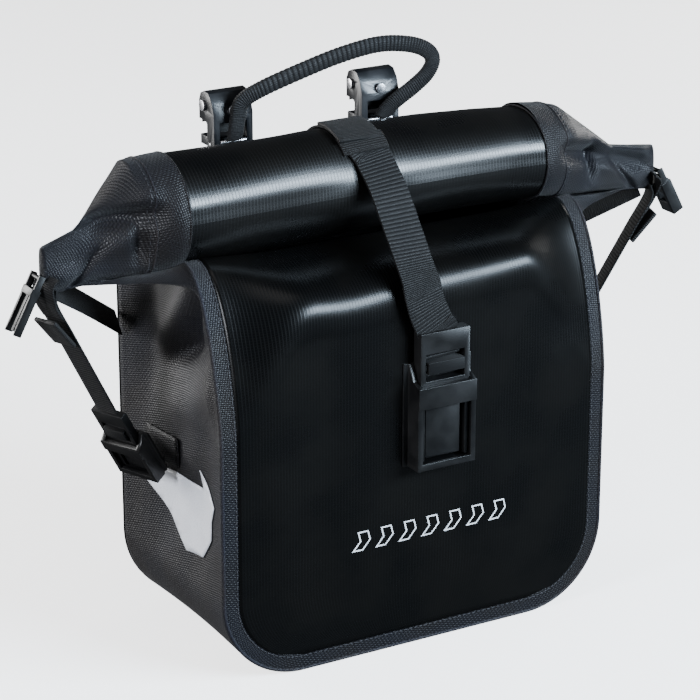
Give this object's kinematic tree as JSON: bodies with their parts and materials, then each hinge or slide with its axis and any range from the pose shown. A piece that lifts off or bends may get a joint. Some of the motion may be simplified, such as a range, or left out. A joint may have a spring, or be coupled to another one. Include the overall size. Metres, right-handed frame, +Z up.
{
  "type": "bicycle pannier bag",
  "caption": "Roll-top waterproof pannier bag with a strapped roll closure, side compression straps, rack hooks with a pull handle and a lower hook.",
  "frame": {"origin": "middle of the bag's flat underside", "axes": "+Z up, -Y towards the front panel, +Y towards the rack hooks, X along the roll"},
  "size_m": [0.5583, 0.2156, 0.4165],
  "materials": {
    "tarpaulin": "glossy coated ripstop laminate",
    "woven_fabric": "matte woven polyester with a welded coating",
    "webbing": "ribbed polyester webbing",
    "reflective_film": "retroreflective grey film",
    "buckle_plastic": "satin moulded acetal",
    "hook_plastic": "satin glass-filled nylon",
    "liner_rubber": "soft matte rubber",
    "rail_aluminium": "black anodised",
    "steel": "zinc plated"
  },
  "bodies": {
    "bag": {"front_panel": "tarpaulin", "front_border_tape": "woven_fabric", "gusset_band": "woven_fabric", "back_panel": "tarpaulin", "back_stiffener_board": "hook_plastic", "front_collar": "tarpaulin", "rear_collar": "tarpaulin", "left_socket_patch": "woven_fabric", "right_socket_patch": "woven_fabric", "left_reflective_patch": "reflective_film", "right_reflective_patch": "reflective_film", "centre_socket": "buckle_plastic", "left_socket": "buckle_plastic", "right_socket": "buckle_plastic", "left_side_strap": "webbing", "right_side_strap": "webbing", "centre_strap_front": "webbing", "upper_rail": "rail_aluminium", "rail_end_caps": "hook_plastic", "rail_screws": "steel", "backing_washers": "steel", "left_hook": "hook_plastic", "right_hook": "hook_plastic", "jaw_liners": "liner_rubber", "latch_pivots": "steel", "latch_springs": "steel", "hook_side_screws": "steel", "hook_band_screws": "steel", "lower_rail": "rail_aluminium", "centre_strap_rear": "webbing"},
    "roll_top": {"roll": "tarpaulin", "closure_batten": "hook_plastic", "left_roll_end": "woven_fabric", "right_roll_end": "woven_fabric", "centre_strap_over_roll": "webbing", "strap_end_fold": "webbing", "left_tip_tab": "webbing", "right_tip_tab": "webbing", "left_strap_tail": "webbing", "right_strap_tail": "webbing"},
    "centre_plug": {"centre_plug": "buckle_plastic", "centre_strap_loop": "webbing"},
    "centre_tongue": {"centre_tongue": "buckle_plastic"},
    "left_plug": {"left_plug": "buckle_plastic", "left_strap_loop": "webbing"},
    "left_tongue": {"left_tongue": "buckle_plastic"},
    "right_plug": {"right_plug": "buckle_plastic", "right_strap_loop": "webbing"},
    "right_tongue": {"right_tongue": "buckle_plastic"},
    "left_tip_buckle": {"left_tip_buckle": "buckle_plastic"},
    "right_tip_buckle": {"right_tip_buckle": "buckle_plastic"},
    "left_latch": {"left_latch": "hook_plastic"},
    "right_latch": {"right_latch": "hook_plastic"},
    "handle_pins": {"handle_pins": "steel"},
    "handle": {"handle_webbing": "webbing"},
    "lower_slider": {"lower_hook_slider": "hook_plastic"},
    "lower_hook": {"lower_hook": "hook_plastic"}
  },
  "joints": [
    {"name": "roll_lift", "type": "slide", "parent": "bag", "child": "roll_top", "axis": [0, 0, 1], "range_m": [0, 0.09], "deforming": ["front_collar", "rear_collar", "centre_strap_rear", "centre_strap_front", "left_side_strap", "right_side_strap"]},
    {"name": "centre_plug_slide", "type": "slide", "parent": "bag", "child": "centre_plug", "axis": [0, 0, 1], "range_m": [0, 0.06], "deforming": ["centre_strap_front"]},
    {"name": "centre_tongue_press", "type": "hinge", "parent": "centre_plug", "child": "centre_tongue", "pos_m": [0.011, -0.08975, 0.192], "axis": [1, 0, 0], "range_deg": [0, 4], "stiffness_Nm_per_rad": 0.5},
    {"name": "left_plug_slide", "type": "slide", "parent": "bag", "child": "left_plug", "axis": [-0.4844, -0.1514, 0.8617], "range_m": [0, 0.032], "deforming": ["left_side_strap"]},
    {"name": "left_tongue_press", "type": "hinge", "parent": "left_plug", "child": "left_tongue", "pos_m": [-0.18292, 0.02002, 0.15708], "axis": [0.3419, -0.9393, 0.0272], "range_deg": [0, 4], "stiffness_Nm_per_rad": 0.3},
    {"name": "right_plug_slide", "type": "slide", "parent": "bag", "child": "right_plug", "axis": [0.4844, -0.1514, 0.8617], "range_m": [0, 0.032], "deforming": ["right_side_strap"]},
    {"name": "right_tongue_press", "type": "hinge", "parent": "right_plug", "child": "right_tongue", "pos_m": [0.18292, 0.02002, 0.15708], "axis": [0.3419, 0.9393, -0.0272], "range_deg": [0, 4], "stiffness_Nm_per_rad": 0.3},
    {"name": "left_tip_swing", "type": "hinge", "parent": "roll_top", "child": "left_tip_buckle", "pos_m": [-0.257, 0, 0.302], "axis": [0, 1, 0], "range_deg": [-5, 60]},
    {"name": "right_tip_swing", "type": "hinge", "parent": "roll_top", "child": "right_tip_buckle", "pos_m": [0.257, 0, 0.302], "axis": [0, -1, 0], "range_deg": [-5, 60]},
    {"name": "handle_pull", "type": "slide", "parent": "bag", "child": "handle_pins", "axis": [0, 0, 1], "range_m": [0, 0.008], "stiffness_N_per_m": 700},
    {"name": "handle_swing", "type": "hinge", "parent": "handle_pins", "child": "handle", "pos_m": [0, 0.0836, 0.3495], "axis": [1, 0, 0], "range_deg": [0, 30]},
    {"name": "left_latch_turn", "type": "hinge", "parent": "bag", "child": "left_latch", "pos_m": [-0.062, 0.0903, 0.347], "axis": [-1, 0, 0], "range_deg": [0, 36]},
    {"name": "right_latch_turn", "type": "hinge", "parent": "bag", "child": "right_latch", "pos_m": [0.062, 0.0903, 0.347], "axis": [-1, 0, 0], "range_deg": [0, 36]},
    {"name": "lower_hook_slide", "type": "slide", "parent": "bag", "child": "lower_slider", "axis": [1, 0, 0], "range_m": [-0.055, 0.055]},
    {"name": "lower_hook_swivel", "type": "hinge", "parent": "lower_slider", "child": "lower_hook", "pos_m": [0, 0.102, 0.104], "axis": [0, 1, 0], "range_deg": [-90, 90]}
  ],
  "couplings": [
    {"joint": "left_latch_turn", "follows": "handle_pull", "rad_per_m": 76.358},
    {"joint": "right_latch_turn", "follows": "handle_pull", "rad_per_m": 76.358}
  ]
}
